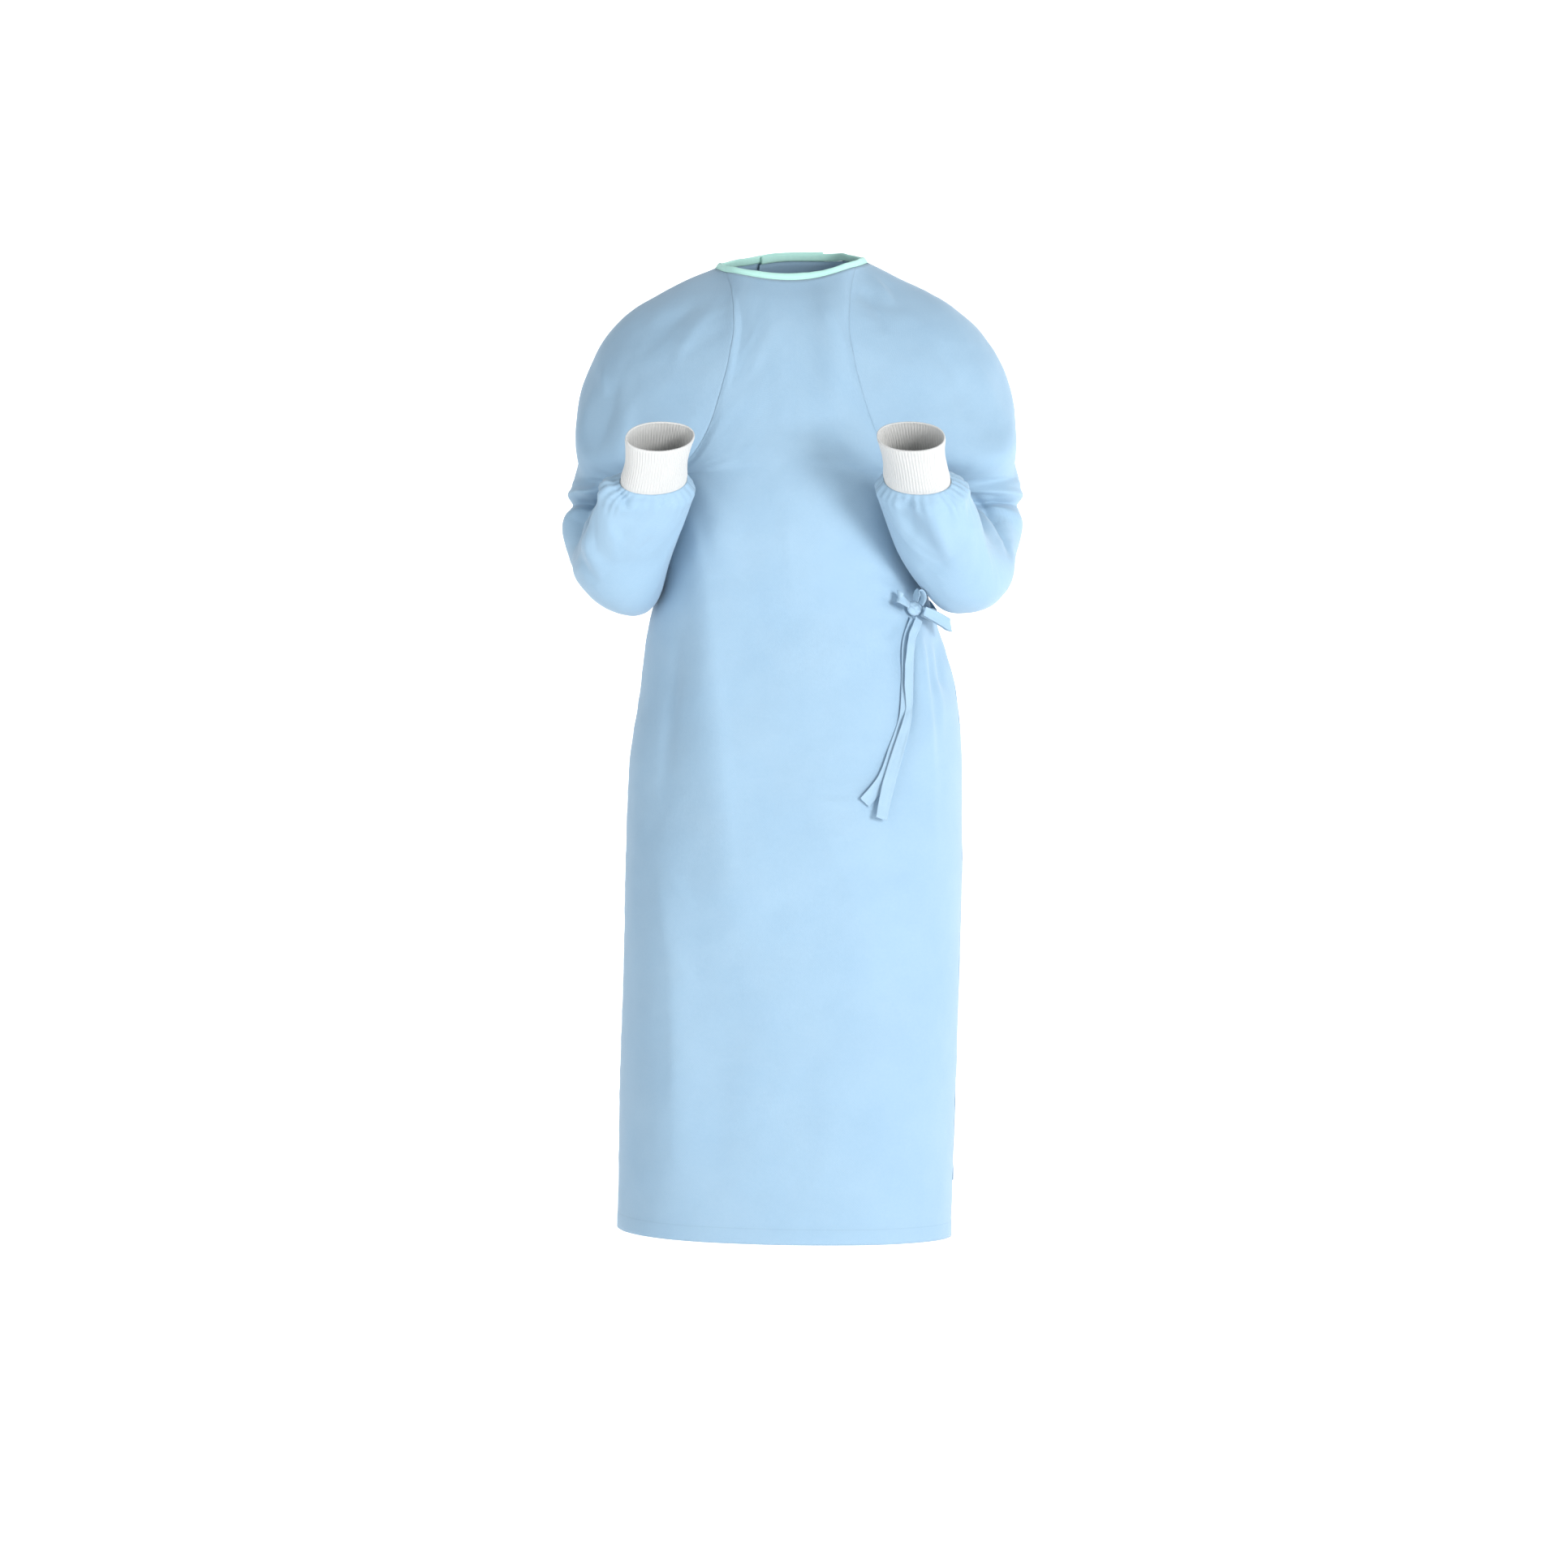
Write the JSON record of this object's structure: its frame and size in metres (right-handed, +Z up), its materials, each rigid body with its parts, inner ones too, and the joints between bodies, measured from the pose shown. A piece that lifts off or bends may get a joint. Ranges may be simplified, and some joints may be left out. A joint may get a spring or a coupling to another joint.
{
  "type": "surgical gown in its worn form",
  "caption": "Hollow wraparound surgical gown with raglan sleeves bent forwards, knit cuffs, a bound neck and a waist tie in a bow.",
  "frame": {"origin": "middle of the neck opening at the height of the shoulder line, where the wearer's neck and shoulders hold the gown up", "axes": "+X towards the wearer's left, -Y to the front, +Z up"},
  "size_m": [0.5734, 0.4388, 1.2465],
  "materials": {
    "nonwoven": "matt light blue nonwoven with a fine bonded texture and soft folds",
    "cuff_knit": "white fine rib knit",
    "binding": "pale mint folded tape with a stitched edge",
    "hook_tape": "white hook and loop tape",
    "tie": "matt light blue nonwoven tape"
  },
  "bodies": {
    "root": {"front_panel": "nonwoven", "back_panel_outer": "nonwoven", "back_panel_under": "nonwoven", "sleeve_right": "nonwoven", "sleeve_left": "nonwoven", "cuff_right": "cuff_knit", "cuff_left": "cuff_knit", "neck_binding": "binding", "neck_tab": "hook_tape", "tie_knot": "tie", "tie_loop_left": "tie", "tie_loop_upper": "tie", "tie_loop_right": "tie", "tie_tail_long": "tie", "tie_tail_short": "tie", "tie_wrap": "tie"}
  },
  "joints": []
}
